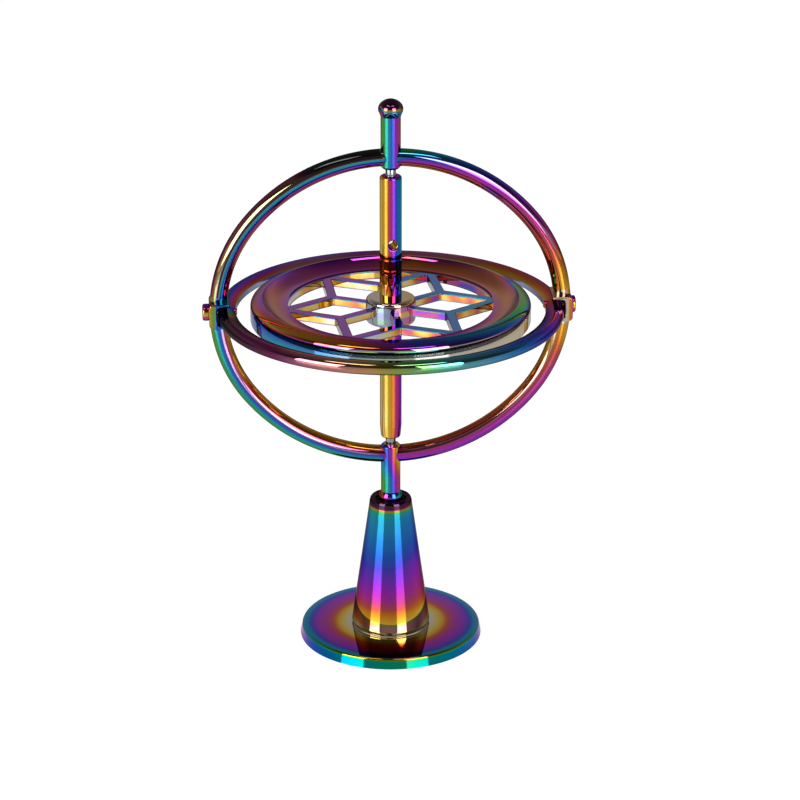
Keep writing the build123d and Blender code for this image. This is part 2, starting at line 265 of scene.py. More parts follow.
def turn_edge_normals(mesh, centre, up, flat_reach, ease):
    """Turns a plate's normals evenly round its edges, so that its mirror finish stays even."""
    normals = [None] * len(mesh.loops)
    for polygon in mesh.polygons:
        for index in polygon.loop_indices:
            if abs(polygon.normal.dot(up)) > 0.999:
                normals[index] = polygon.normal.copy()
                continue
            rise = (mesh.vertices[mesh.loops[index].vertex_index].co - centre).dot(up)
            tilt = math.asin(min(max((abs(rise) - flat_reach) / ease, 0.0), 1.0))
            drawn_normal = Vector(mesh.corner_normals[index].vector)
            level = (drawn_normal - up * drawn_normal.dot(up)).normalized()
            normals[index] = (level * math.cos(tilt)
                              + up * math.copysign(math.sin(tilt), rise)).normalized()
    mesh.normals_split_custom_set(normals)


def join(name, pieces):
    """One object from several, each keeping its own normals."""
    mesh = bpy.data.meshes.new(name)
    normals = []
    work = bmesh.new()
    for piece in pieces:
        normals += [Vector(corner.vector) for corner in piece.data.corner_normals]
        work.from_mesh(piece.data)
    work.to_mesh(mesh)
    work.free()
    mesh.normals_split_custom_set(normals)
    for piece in pieces:
        bpy.data.objects.remove(piece)
    joined = bpy.data.objects.new(name, mesh)
    bpy.context.scene.collection.objects.link(joined)
    return joined


# ---- plated finishes ----

# Colour of the plating by the thickness of its film, on a scale of its own. The finishes below
# work out the thickness over a piece, as broken lines of its place and of the way it faces.
COATING = (
    (0.00, (200, 199, 201)),
    (0.06, (215, 200, 160)),
    (0.11, (225, 190, 80)),
    (0.16, (220, 160, 5)),
    (0.22, (205, 110, 10)),
    (0.27, (190, 75, 55)),
    (0.32, (180, 50, 115)),
    (0.38, (165, 25, 165)),
    (0.44, (125, 30, 190)),
    (0.50, (60, 55, 190)),
    (0.56, (5, 85, 190)),
    (0.64, (0, 120, 190)),
    (0.71, (0, 150, 175)),
    (0.77, (5, 165, 130)),
    (0.83, (50, 165, 65)),
    (0.89, (130, 155, 20)),
    (0.95, (185, 140, 35)),
    (1.01, (190, 95, 85)),
    (1.08, (135, 20, 95)),
    (1.14, (90, 12, 65)),
    (1.20, (60, 12, 60)),
    (1.30, (22, 42, 28)),
)

FILM_IOR = 2.6  # of the hard oxide film that tints the metal
BARE_METAL = (0.56, 0.55, 0.55, 1)
POLISH = 0.03  # roughness
BUMP_DEPTH = 0.00002  # metres
MIX_A, MIX_B, MIX_RESULT = 6, 7, 2  # colour sockets of a Mix node


def linear(value):
    """Linear light from a colour number of 0 to 255."""
    value /= 255
    return value / 12.92 if value <= 0.04045 else ((value + 0.055) / 1.055) ** 2.4


class Term:
    """A number over a surface, built up from shader nodes."""

    def __init__(self, tree, socket):
        self.tree, self.socket = tree, socket

    def math(self, operation, other=0):
        """This number combined with another term or a plain number by a Math node."""
        node = self.tree.nodes.new("ShaderNodeMath")
        node.operation = operation
        self.tree.links.new(self.socket, node.inputs[0])
        if isinstance(other, Term):
            self.tree.links.new(other.socket, node.inputs[1])
        else:
            node.inputs[1].default_value = other
        return Term(self.tree, node.outputs[0])

    def __add__(self, other):
        return self.math("ADD", other)

    def __mul__(self, other):
        return self.math("MULTIPLY", other)

    def size(self):
        """This number without its sign."""
        return self.math("ABSOLUTE")

    def blend(self, other, share):
        """This number, replaced by another one to a share from 0 to 1."""
        return self + (self * -1 + other) * share

    def ramp(self, stops):
        """Colour read off a ramp, its stops given as (number, colour)."""
        low, high = stops[0][0], stops[-1][0]
        node = self.tree.nodes.new("ShaderNodeValToRGB")
        self.tree.links.new(((self + -low) * (1 / (high - low))).socket, node.inputs["Fac"])
        elements = node.color_ramp.elements
        for _ in stops[1:-1]:
            elements.new(0.5)
        for element, (number, colour) in zip(elements, stops):
            element.position = (number - low) / (high - low)
            element.color = [*colour, 1]
        return Term(self.tree, node.outputs["Color"])

    def line(self, *stops):
        """Number read off a broken line through points given as (number, result).

        The line stays level beyond its ends. A result is never under 0, because a ramp's colours
        aren't, so a falling film is a line times -1.
        """
        return self.ramp([(number, [result] * 3) for number, result in stops])


def split(tree, socket):
    """The three parts of a vector."""
    node = tree.nodes.new("ShaderNodeSeparateXYZ")
    tree.links.new(socket, node.inputs[0])
    return [Term(tree, output) for output in node.outputs]


class Surface:
    """Place in millimetres from a centre on the axis, and normal, over the surface of a piece."""

    def __init__(self, tree, height):
        self.tree = tree
        where = tree.nodes.new("ShaderNodeTexCoord")
        self.place = tree.nodes.new("ShaderNodeVectorMath")
        self.place.operation = "MULTIPLY_ADD"
        tree.links.new(where.outputs["Object"], self.place.inputs[0])
        self.place.inputs[1].default_value = (1 / MM, 1 / MM, 1 / MM)
        self.place.inputs[2].default_value = (0, 0, -height)
        self.normal = where.outputs["Normal"]
        self.x, self.y, self.z = split(tree, self.place.outputs[0])
        self.nx, self.ny, self.nz = split(tree, self.normal)
        level = self.vector("MULTIPLY", self.place.outputs[0], LEVEL)
        self.radius = Term(tree, self.vector("LENGTH", level.outputs[0]).outputs["Value"])

    def vector(self, operation, first, second=None):
        """Vector Math node fed with a socket and, where given, a fixed vector or a socket."""
        node = self.tree.nodes.new("ShaderNodeVectorMath")
        node.operation = operation
        self.tree.links.new(first, node.inputs[0])
        if isinstance(second, tuple):
            node.inputs[1].default_value = second
        elif second is not None:
            self.tree.links.new(second, node.inputs[1])
        return node

    def outward(self, plane):
        """How far the surface faces away from the centre, within the plane of two axes."""
        flat = self.vector("MULTIPLY", self.place.outputs[0], plane)
        away = self.vector("NORMALIZE", flat.outputs[0])
        return Term(self.tree, self.vector("DOT_PRODUCT", self.normal,
                                           away.outputs[0]).outputs["Value"])

    def beyond(self, inner, outer):
        """0 near the axis, rising to 1 between two radii."""
        return self.radius.line((inner, 0), (outer, 1))

    def cloud(self, scale, stretch=(1, 1, 1)):
        """Soft noise from about -0.5 to 0.5."""
        drawn = self.vector("MULTIPLY", self.place.outputs[0], stretch)
        noise = self.tree.nodes.new("ShaderNodeTexNoise")
        self.tree.links.new(drawn.outputs[0], noise.inputs["Vector"])
        noise.inputs["Scale"].default_value = scale
        noise.inputs["Detail"].default_value = 2.0
        return Term(self.tree, noise.outputs["Fac"]) + -0.5


def polished(name):
    """Metal material, its node tree and its shader."""
    material = bpy.data.materials.new(name)
    material.use_nodes = True
    shader = material.node_tree.nodes["Principled BSDF"]
    shader.inputs["Metallic"].default_value = 1.0
    return material, material.node_tree, shader


def roughen(tree, shader, height, strength):
    """Fine bump, driven by the height from a socket."""
    bump = tree.nodes.new("ShaderNodeBump")
    bump.inputs["Strength"].default_value = strength
    bump.inputs["Distance"].default_value = BUMP_DEPTH
    tree.links.new(height, bump.inputs["Height"])
    tree.links.new(bump.outputs["Normal"], shader.inputs["Normal"])


def plated(name, height, film, strength=None, streaks=(1, 1, 1), coat=0.15, edge=0.3):
    """Mirror-polished metal under a film whose thickness gives its colour.

    Film and strength are functions of a Surface centred at a height: the thickness on the scale
    of COATING, and how fully its colour covers the bare metal. Streaks stretch the unevenness,
    the coat whitens highlights, and a low edge darkens what is mirrored at grazing angles.
    """
    material, tree, shader = polished(name)
    shader.inputs["Coat Weight"].default_value = coat
    shader.inputs["Coat IOR"].default_value = FILM_IOR
    shader.inputs["Specular Tint"].default_value = (edge, edge, edge, 1)
    surface = Surface(tree, height)
    thickness = film(surface) + surface.cloud(0.13) * 0.06 + surface.cloud(2.2, streaks) * 0.012
    colour = thickness.ramp([(number, [linear(c) for c in rgb]) for number, rgb in COATING])
    if strength is not None:
        mix = tree.nodes.new("ShaderNodeMix")
        mix.data_type = "RGBA"
        tree.links.new(strength(surface).socket, mix.inputs["Factor"])
        mix.inputs[MIX_A].default_value = BARE_METAL
        tree.links.new(colour.socket, mix.inputs[MIX_B])
        colour = Term(tree, mix.outputs[MIX_RESULT])
    tree.links.new(colour.socket, shader.inputs["Base Color"])
    gloss = surface.cloud(0.4, streaks) * 0.02 + POLISH
    tree.links.new(gloss.socket, shader.inputs["Roughness"])
    roughen(tree, shader, surface.cloud(0.7, streaks).socket, 0.10)
    return material


def plain_metal(name, colour, roughness):
    """Unplated turned metal with faint turning marks."""
    material, tree, shader = polished(name)
    shader.inputs["Roughness"].default_value = roughness
    shader.inputs["Base Color"].default_value = [linear(c) for c in colour] + [1]
    where = tree.nodes.new("ShaderNodeTexCoord")
    marks = tree.nodes.new("ShaderNodeTexWave")
    marks.bands_direction = "Z"
    marks.inputs["Scale"].default_value = 1500.0
    marks.inputs["Distortion"].default_value = 1.0
    tree.links.new(where.outputs["Object"], marks.inputs["Vector"])
    roughen(tree, shader, marks.outputs["Fac"], 0.08)
    return material


def dress(piece, material, body, slot, *replaced):
    """Gives a piece its finish, its body and the CAD nodes that it stands for. The slot is not
    used.
    """
    piece.data.materials.clear()
    piece.data.materials.append(material)
    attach(piece, body)
    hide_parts(*replaced)


# ---- stand ----

def foot_film(s):
    """Rings of silver, gold, purple and blue, and a side from purple to green in front."""
    return s.radius.line((6.7, 0.03), (7.8, 0.08), (9.0, 0.15), (10.0, 0.27), (11.2, 0.36),
                         (12.8, 0.41), (13.5, 0.47), (14.0, 0.57), (14.4, 0.65), (15.0, 0.68),
                         (15.2, 0.71), (15.32, 0.60), (15.36, 0.36), (16.0, 0.36)) + (
        s.ny.size() * 0.42)


def column_film(s):
    """Silver and gold at the foot, over purple, to blue and green under a dark lip."""
    rise = s.z.line((3.0, 0.05), (3.5, 0.10), (4.1, 0.14), (4.7, 0.17), (5.2, 0.19),
                    (5.8, 0.22), (6.5, 0.275), (7.3, 0.32), (8.5, 0.375), (10.1, 0.42),
                    (12.0, 0.465), (13.8, 0.50), (15.8, 0.56), (18.0, 0.62), (20.5, 0.68),
                    (22.5, 0.71), (23.4, 0.76), (23.7, 0.89), (23.95, 0.97), (24.2, 1.17),
                    (24.8, 1.23), (25.5, 1.20))
    return rise + (s.ny * -0.03 + -0.03) + s.nx * -0.04 + s.nx.size() * -0.03


def ball_film(s):
    """Gold at the left, over purple and blue, to green at the right."""
    return s.nx * 0.3 + 0.5


def stand_pieces():
    """Foot with its spigot and the countersunk hole under it, column with its cup, and ball."""
    foot = [(SPIGOT_RADIUS, FOOT_TOP), (SPIGOT_RADIUS, SPIGOT_TOP), (SCREW_RADIUS, SPIGOT_TOP),
            (SCREW_RADIUS, 1.6), (2.6, RECESS_TOP), (RECESS_RADIUS, RECESS_TOP, 0.1),
            (RECESS_RADIUS, 0.0, 0.08), (FOOT_RADIUS, 0.0, 0.06), (FOOT_RADIUS - 0.3, 1.42)]
    edge = arc((14.92, 1.42), (0.43, 0.43), 0, 90, 10)[1:]
    dress(lathe("foot_disc", eased(foot) + edge),
          plated("foot_plating", 0, foot_film, coat=0.0, edge=1.0),
          "stand", "base_plating", "base_disc")

    column = eased([(SPIGOT_RADIUS, FOOT_TOP), (6.4, FOOT_TOP, 0.1), (6.5, 2.25, 0.1),
                    (6.72, 2.4, 0.12), (3.65, LIP_HEIGHT)], closed=False)
    # The lip's outside and inside, and the cup.
    column += arc((3.05, LIP_HEIGHT), (0.6, 1.1), 0, 90)[1:]
    column += arc((3.05, LIP_HEIGHT + 0.45), (0.68, 0.65), 90, 180)[1:]
    column += arc((0, BALL_Z), (SOCKET_RADIUS, SOCKET_RADIUS), -20.2, -90, 20)
    column[-1] = (0, column[-1][1])
    column += [(0, SPIGOT_TOP), (SPIGOT_RADIUS, SPIGOT_TOP)]
    dress(lathe("column", column),
          plated("column_plating", 0, column_film, streaks=BRUSHED, coat=0.1),
          "stand", "cone_plating", "stand_cone")

    ball = arc((0, BALL_Z), (BALL_RADIUS, BALL_RADIUS), -90, 90, 64)
    ball[0], ball[-1] = (0, ball[0][1]), (0, ball[-1][1])
    dress(lathe("foot_ball", ball), plated("ball_plating", BALL_Z, ball_film),
          "ball", "ball_plating", "lower_ball")


# ---- frame of the gyroscope ----

def oval():
    """Quarter of the upright ring's centre line, from its side to its top, as (x, z)."""
    steps = 120
    side = HALF_HEIGHT**2 / HALF_WIDTH
    shift = HALF_WIDTH - side
    top = (HALF_HEIGHT**2 + shift**2 - side**2) / (2 * (HALF_HEIGHT - side))
    joint = math.degrees(math.atan2(top - HALF_HEIGHT, shift))
    points = arc((shift, 0), (side, side), 0, joint, steps)
    points += arc((0, HALF_HEIGHT - top), (top, top), joint, 90, steps)[1:]
    return points


def bar(name, side, flip):
    """Quarter of the upright ring, from inside a joint block to the post."""
    path = [Vector(p) for p in oval() if p[1] > BAR_START]
    round_steps = 64
    points, faces = [], []
    for i, centre in enumerate(path):
        ahead = path[min(i + 1, len(path) - 1)] - path[max(i - 1, 0)]
        across = Vector((ahead.y, -ahead.x)).normalized()
        for step in range(round_steps):
            angle = 2 * math.pi * step / round_steps
            reach = BAR_RADIUS * math.cos(angle)
            points.append((side * (centre.x + across.x * reach), BAR_RADIUS * math.sin(angle),
                           RING_Z + flip * (centre.y + across.y * reach)))
    for i in range(len(path) - 1):
        for step in range(round_steps):
            j = (step + 1) % round_steps
            faces.append((i * round_steps + step, i * round_steps + j,
                          (i + 1) * round_steps + j, (i + 1) * round_steps + step))
    return from_points(name, points, faces)


def block(name, side):
    """Joint block with its notch for the level ring."""
    outline = [(BLOCK_END, BLOCK_HALF, 0.3), (BLOCK_FACE, BLOCK_HALF, 0.8),
               (BLOCK_FACE, -BLOCK_HALF, 0.8), (BLOCK_END, -BLOCK_HALF, 0.3),
               (BLOCK_END, -NOTCH_HALF, 0.12), (NOTCH_FACE, -NOTCH_HALF, 0.7),
               (NOTCH_FACE, NOTCH_HALF, 0.7), (BLOCK_END, NOTCH_HALF, 0.12)]
    return plate(name, [eased(outline)], -BLOCK_DEPTH, BLOCK_DEPTH, 0.26,
                 lambda x, y, z: (side * x, z, RING_Z * MM + y))


def post(name, flip):
    """Post with its chamfered tip: the upper one bored for the knob's pin, the lower one
    hollowed for the ball."""
    shoulder = (POST_RADIUS, POST_TIP + 0.4, 0.1)
    if flip > 0:
        outline = [(0.96, POST_TIP, 0.05), (TIP_RADIUS, POST_TIP, 0.08), shoulder,
                   (POST_RADIUS, POST_END + KNOB_FOOT), (BORE_RADIUS, POST_END + KNOB_FOOT),
                   (BORE_RADIUS, POST_TIP + 0.3), (0.96, POST_TIP + 0.3)]
    else:
        outline = [(TIP_RADIUS, POST_TIP, 0.05), shoulder, (POST_RADIUS, POST_END - 1.32)]
        outline += arc((0, POST_END), (SOCKET_RADIUS, SOCKET_RADIUS), -38.4, -90, 20)[:-1]
        outline += [(0.0, POST_END - SOCKET_RADIUS), (0.0, POST_TIP + 3.0),
                    (BORE_RADIUS, POST_TIP + 3.0), (BORE_RADIUS, POST_TIP)]
    return lathe(name, eased(outline), RING_Z, flip)


def at_block(s):
    """1 on the joint blocks and 0 elsewhere on the frame."""
    return s.z.size().line((0, 1), (2.88, 1), (2.95, 0), (3, 0)) * (
        s.x.size().line((26.0, 0), (26.85, 0), (26.9, 1), (31, 1)))


def upper_half(s):
    """0 on the lower half of the upright ring, rising to 1 on the upper half."""
    return s.z.line((-3, 0), (3, 1))


def right_half(s):
    """0 on the left half of the upright ring, rising to 1 on the right half."""
    return s.x.line((-2, 0), (2, 1))


def left_bars_film(s, out):
    """Thicker outwards, with a dark band above that widens towards the post: painted shade, which
    also hides the lamps' highlights there.
    """
    low = out.line((-1, 0.14), (-0.7, 0.20), (-0.45, 0.32), (-0.25, 0.40), (-0.1, 0.48),
                   (0.1, 0.60), (0.3, 0.70), (0.6, 0.80), (1, 0.93))
    high = out.line((-1, 0.14), (-0.75, 0.20), (-0.55, 0.38), (-0.42, 0.45), (-0.28, 0.56),
                    (-0.12, 0.66), (0, 0.72), (0.08, 0.78), (0.12, 1.24), (0.32, 1.24),
                    (0.40, 0.90), (0.62, 0.94), (0.8, 1.02), (1, 1.14))
    # Painted shade: the film turns dark near the post, where it hides the lamps' highlights.
    painted_shade_near_post = out.line((0.42, 0), (0.5, 1), (1, 1)) * s.x.line((-16, 0), (-12, 0.3), (0, 0.3))
    return low.blend(high + painted_shade_near_post, upper_half(s))


def right_bars_film(s, out):
    """Thinner towards the joint block, and thicker outwards."""
    low = out.line((-1, 0.22), (-0.5, 0.30), (-0.2, 0.34), (0, 0.38), (0.5, 0.42), (1, 0.46)) + (
        s.x.line((0, 0), (12, 0), (21, 0.02), (25, 0.06), (27.7, 0.12), (29, 0.24),
                 (30, 0.30)) * -1)
    high = s.x.line((0, 0.50), (3, 0.46), (10, 0.41), (17, 0.38), (24, 0.32), (27, 0.26),
                    (29, 0.14), (30, 0.08)) + (
        out * s.x.line((0, 0.40), (3, 0.38), (10, 0.26), (18, 0.12), (30, 0.05)))
    return low.blend(high, upper_half(s))


def posts_film(s):
    """Thinner from left to right, and on the lower post towards its tip."""
    across = s.nx.line((-1, 0.87), (-0.6, 0.80), (-0.35, 0.72), (0, 0.60), (0.25, 0.47),
                       (0.5, 0.40), (0.8, 0.32), (1, 0.20))
    return across + s.z.line((-35, 0), (-30.5, 0), (-28.5, 0.12), (-26.5, 0.22), (-24, 0.24),
                             (-20, 0), (35, 0)) * -1


def blocks_film(s):
    """Olive outside on the left and pink outside on the right, thicker on their upper faces."""
    left = s.x.line((-30.6, 0.93), (-29.8, 0.92), (-29.6, 0.86), (-29.45, 0.72),
                    (-29.3, 1.0), (-29.15, 0.50), (-28.9, 0.62), (-26, 0.60))
    right = s.x.line((26, 0.05), (29, 0.06), (29.5, 0.10), (29.65, 0.18), (30.0, 0.24),
                     (30.3, 0.34))
    return left.blend(right, s.x.line((-1, 0), (1, 1))) + s.nz * 0.15


def frame_film(s):
    """The four quarters of the ring, then the posts and the joint blocks over them."""
    out = s.outward(UPRIGHT)
    bars = left_bars_film(s, out).blend(right_bars_film(s, out), right_half(s))
    bars = bars.blend(posts_film(s), s.radius.line((0, 1), (1.72, 1), (2.1, 0), (3, 0)))
    return bars.blend(blocks_film(s), at_block(s))


def frame_strength_with_painted_highlights(s):
    """Paler inside the right joint block, and a painted highlight: a paler stripe along each
    quarter of the ring.
    """
    inner_block = at_block(s) * s.x.line((-1, 0), (1, 0.45), (29.3, 0.45), (29.7, 0), (31, 0))
    out = s.outward(UPRIGHT)
    # The paler stripes below and above are painted highlights, lying where the key lamps'
    # highlights fall.
    painted_highlight_left_low = out.line((-1, 0), (-0.44, 0), (-0.34, 0.45), (-0.18, 0.45), (-0.08, 0), (1, 0))
    painted_highlight_right_low = out.line((-1, 0), (-0.72, 0), (-0.6, 0.35), (-0.4, 0.35), (-0.28, 0), (1, 0))
    low = painted_highlight_left_low.blend(painted_highlight_right_low, right_half(s)) * (
        s.z.line((-3, 1), (-1, 0))) * s.beyond(2.1, 4)
    high = out.line((-1, 0), (0.28, 0), (0.38, 0.26), (0.58, 0.26), (0.68, 0), (1, 0)) * (
        s.x.line((-28, 1), (-16, 1), (-12, 0), (3, 0), (6, 1), (26, 1), (28, 0))) * (
        s.z.line((1, 0), (3, 1)))
    return (inner_block + low + high) * -1 + 1


def level_film(s):
    """Dark red over gold and green to blue and purple round the front, and thinner behind."""
    out = s.outward(LEVEL)
    front = s.x.line((-29, 1.14), (-25, 1.10), (-21, 1.05), (-17, 1.01), (-12, 0.97),
                     (-7, 0.93), (-2, 0.86), (3, 0.79), (7, 0.72), (11, 0.68), (17, 0.61),
                     (21, 0.54), (25, 0.44), (29, 0.32)) + out * 0.05
    outside = s.x.line((-29, 0.56), (0, 0.45), (14, 0.36), (29, 0.30)) + (
        out * s.x.line((-29, 0.60), (0, 0.40), (29, 0.25)))
    inside = s.x.line((-29, 0.62), (10, 0.58), (29, 0.55))
    back = outside.blend(inside, out.line((-1, 1), (-0.75, 1), (-0.6, 0), (1, 0)))
    return back.blend(front, s.y.line((-6, 1), (2, 0)))


def level_strength_with_painted_highlights(s):
    """Paler inner face, and two slightly paler stretches at the front, which are painted
    highlights.
    """
    # The paler stretches at the front are painted highlights where the key lamps' highlights
    # fall.
    return s.outward(LEVEL).line((-1, 0.45), (-0.75, 0.45), (-0.6, 1), (1, 1)) * s.x.line(
        (-29, 1), (-20, 1), (-16, 0.84), (-8, 0.84), (-3, 0.95), (3, 0.86), (13, 0.86), (19, 1),
        (29, 1))


def knob_film(s):
    """Dark above, then gold and green to blue below, and thinner at the left."""
    down = s.nz.line((-1, 0.50), (-0.5, 0.56), (-0.3, 0.68), (-0.15, 0.78), (0, 0.88),
                     (0.2, 0.98), (0.4, 1.06), (0.6, 1.14), (1, 1.20))
    left = s.nx.line((-1, 0.5), (-0.8, 0.4), (-0.55, 0), (1, 0)) * (
        s.nz.line((-1, 1), (0.2, 1), (0.5, 0), (1, 0)))
    return down + left * -1


def rivet_film(s):
    """Gold on the sides, thicker above and below."""
    return s.nz.line((-1, 0.72), (-0.5, 0.35), (0, 0.13), (0.5, 0.24), (1, 0.46))


def level_section():
    """Half-round outside and flat inside, with flanks that run from one to the other."""
    half, face = 1.11, 0.47
    centre = LEVEL_OUTER - half
    reach, taper = centre - LEVEL_INNER, half - face
    flank = (reach ** 2 + taper ** 2) / (2 * taper)
    start = math.degrees(math.asin(reach / flank))
    section = arc((centre, 0), (half, half), -90, 90, 40)
    section += arc((centre, half - flank), (flank, flank), 90, 90 + start, 12)[1:]
    section += arc((centre, flank - half), (flank, flank), 270 - start, 270, 12)[:-1]
    return section


def rivet(name, side, end):
    """Rivet along X, with its head outside the joint block."""
    outline = [(0, RIVET_START), (RIVET_RADIUS, RIVET_START, 0.1), (RIVET_RADIUS, BLOCK_FACE),
               (RIVET_HEAD, BLOCK_FACE, 0.06), (RIVET_HEAD, end, 0.45), (0, end)]
    piece = lathe(name, eased(outline), segments=NARROW_TURN)
    for vertex in piece.data.vertices:
        x, y, z = vertex.co
        vertex.co = (side * z, y, x + RING_Z * MM)
    if side < 0:
        piece.data.flip_normals()
    piece.data.update()
    return piece


def frame_pieces():
    """Upright ring with its blocks and posts, knob, level ring and rivets."""
    parts = [bar(f"bar_{side}_{flip}", side, flip) for side in (-1, 1) for flip in (-1, 1)]
    parts += [block("block_left", -1), block("block_right", 1)]
    parts += [post("post_upper", 1), post("post_lower", -1)]
    dress(join("upright_ring", parts),
          plated("frame_plating", RING_Z, frame_film, strength=frame_strength_with_painted_highlights),
          "gyro_frame", "frame_plating", "vertical_ring")

    knob = eased([(0, KNOB_TOP), (0, -6.81), (BORE_RADIUS, -6.81), (BORE_RADIUS, KNOB_FOOT),
                  (POST_RADIUS, KNOB_FOOT, 0.05), (2.08, -0.1, 0.08)])
    knob += arc((0.674, 0.1), (1.406, 1.406), 0, 41.4)
    knob += arc((0, KNOB_TOP - 2.304), (2.304, 2.304), 41.4, 90, 24)[1:-1]
    dress(lathe("top_knob", knob, KNOB_Z), plated("knob_plating", KNOB_Z, knob_film),
          "gyro_frame", "knob_plating", "upper_knob")

    level_z = RING_Z - LEVEL_DROP
    dress(lathe("level_ring", level_section(), level_z, segments=WIDE_TURN),
          plated("level_plating", level_z, level_film, strength=level_strength_with_painted_highlights, coat=0.16,
                 edge=0.25),
          "gyro_frame", "level_ring_plating", "horizontal_ring")

    for name, (side, end) in RIVET_ENDS.items():
        dress(rivet(name + "_head", side, end), plated(name + "_plating", RING_Z, rivet_film),
              "gyro_frame", "rivet_plating", name)


# ---- flywheel ----

def on_circle(radius, heading):
    """Point on a circle about the origin, its heading in degrees."""
    return Vector((radius * math.cos(math.radians(heading)),
                   radius * math.sin(math.radians(heading))))


def circle(radius, count):
    """Evenly spaced points on a circle about the origin."""
    return [tuple(on_circle(radius, 360 / count * i)) for i in range(count)]


def side_line(start, end, shift):
    """Line beside the one from start to end, shifted to its left."""
    run = (end - start).normalized()
    return start + Vector((-run.y, run.x)) * shift, run


def meet(first, second):
    """Where two lines cross."""
    (p, a), (q, b) = first, second
    t = ((q.x - p.x) * b.y - (q.y - p.y) * b.x) / (a.x * b.y - a.y * b.x)
    return p + a * t


def meet_circle(line, radius):
    """Where a line running outwards crosses a circle about the origin."""
    p, a = line
    half = p.dot(a)
    return p + a * (math.sqrt(half * half - p.length_squared + radius**2) - half)


def round_way(radius, start, end):
    """Points on a circle between two points on it, without the points themselves."""
    steps = 14
    a0 = math.atan2(start.y, start.x)
    sweep = (math.atan2(end.y, end.x) - a0 + math.pi) % (2 * math.pi) - math.pi
    return [on_circle(radius, math.degrees(a0 + sweep * s / steps)) for s in range(1, steps)]


def star_openings():
    """The twelve openings between the bars, as outlines with eased corners."""
    loops = []
    centre = Vector((0, 0))
    tip_reach = OPENING_RADIUS + 0.8
    inner_radius = HUB_RADIUS - 0.3
    for step in range(6):
        heading = STAR_PHASE + 60 * (step + 0.5)
        node, following = on_circle(STAR_NODE, heading), on_circle(STAR_NODE, heading + 60)
        low_tip, tip = on_circle(tip_reach, heading - 30), on_circle(tip_reach, heading + 30)
        right, left = side_line(node, low_tip, STAR_BAR), side_line(node, tip, -STAR_BAR)
        a, b = meet_circle(right, OPENING_RADIUS), meet_circle(left, OPENING_RADIUS)
        # The opening outside the fork, with the rim on its third side.
        outer = [(*meet(right, left), 0.25), (*a, 0.2)]
        outer += [tuple(p) for p in round_way(OPENING_RADIUS, a, b)] + [(*b, 0.2)]
        loops.append(eased(outer))
        # The kite between this spoke and the next one, its inner corners hidden in the hub.
        spoke = side_line(centre, node, STAR_SPOKE)
        next_spoke = side_line(centre, following, -STAR_SPOKE)
        near, far = side_line(node, tip, STAR_BAR), side_line(following, tip, -STAR_BAR)
        p, q = meet_circle(spoke, inner_radius), meet_circle(next_spoke, inner_radius)
        kite = [tuple(p), (*meet(spoke, near), 0.25), (*meet(near, far), 0.25),
                (*meet(next_spoke, far), 0.25), tuple(q)]
        loops.append(eased(kite))
    return loops


def bead_film(s):
    """Changes along the crest, and thins out from the crest to the wall."""
    front = s.x.line((-23, 0.50), (-18, 0.28), (-12, 0.28), (-6, 0.38), (0, 0.50), (8, 0.62),
                     (16, 0.74), (20, 0.82), (22, 0.90))
    back = s.x.line((-23, 0.50), (-12, 0.34), (-2, 0.36), (1, 0.20), (8, 0.14), (22, 0.10))
    crest = front.blend(back, s.y.line((4, 0), (10, 1)))
    left_fall = s.radius.line((21.4, 1), (22.2, 0.67), (22.9, 0.40), (23.1, 0.20), (23.4, 0.0))
    right_fall = s.radius.line((21.4, 1), (22.4, 0.93), (22.8, 0.78), (23.0, 0.66), (23.2, 0.52),
                               (23.38, 0.22))
    return crest * left_fall.blend(right_fall, s.x.line((-8, 0), (2, 1)))


def dish_film(s):
    """Thins out to the crest, and is thicker at the back left."""
    slope = s.radius.line((17.2, 0.38), (18.0, 0.31), (18.8, 0.25), (19.6, 0.20), (20.8, 0.16),
                          (21.3, 0.14))
    return slope + s.x.line((-14, 0.11), (-2, 0.11), (2, 0), (12, 0)) * s.y.line((0, 0), (12, 1))


def upright_film(s):
    """Cloudy sides of the star's bars with dark edges, and the wall, blue at its front left."""
    sides = s.cloud(0.15) * s.x.line((-3, 0.7), (3, 1.4)) + (
        s.x.line((-16, 0.09), (-3, 0.11), (4, 0.24), (16, 0.28))) + (
        s.z.line((-0.60, 1.0), (-0.44, 0.9), (-0.34, 0.02), (0.54, 0), (0.62, 0.5), (0.8, 0.9)))
    front = s.x.line((-23.4, 0.66), (-20, 0.71), (-12, 0.73), (-2, 0.73), (0, 0.08), (24, 0.10))
    back = s.x.line((-23.4, 0.64), (0, 0.36), (24, 0.14))
    wall = front.blend(back, s.y.line((0, 0), (10, 1)))
    return sides.blend(wall, s.beyond(*WALL_EDGE))


def rotor_film(s):
    """From the hub over the web and the dish to the bead, with the upright faces apart."""
    steep = s.nz.size()
    hub = s.x.line((-4.2, 0.62), (-1, 0.66), (0.6, 0.06), (2.5, 0.12), (4.2, 0.18)) * (
        steep.line((0.3, 1), (0.8, 0))) + steep * 0.14
    web = s.x.line((-14, 0.39), (-2, 0.42), (4, 0.58), (14, 0.66))
    top = web.blend(dish_film(s), s.beyond(*DISH_EDGE)).blend(bead_film(s), s.beyond(*CREST_EDGE))
    whole = top.blend(upright_film(s), steep.line((0, 1), (0.3, 0.35), (1, 0)))
    return hub.blend(whole, s.beyond(*HUB_EDGE))


def rotor_strength(s):
    """Silvery hub, nearly full web and dish, full bead, and wall silvery at its front right."""
    hub = s.x.line((-4.2, 0.30), (-1, 0.30), (0.6, 0.6), (4.2, 0.8))
    dish = s.x.line((-22, 0.88), (-10, 1), (10, 1), (22, 0.88))
    wall = s.x.line((-20, 1), (-12, 0.9), (-7, 0.5), (-3, 0.14), (2, 0.12), (24, 0.5)).blend(
        1, s.y.line((0, 0), (10, 1)))
    return hub.blend(0.95, s.beyond(*HUB_EDGE)).blend(dish, s.beyond(*DISH_EDGE)).blend(
        1, s.beyond(*CREST_EDGE)).blend(wall, s.beyond(*WALL_EDGE))


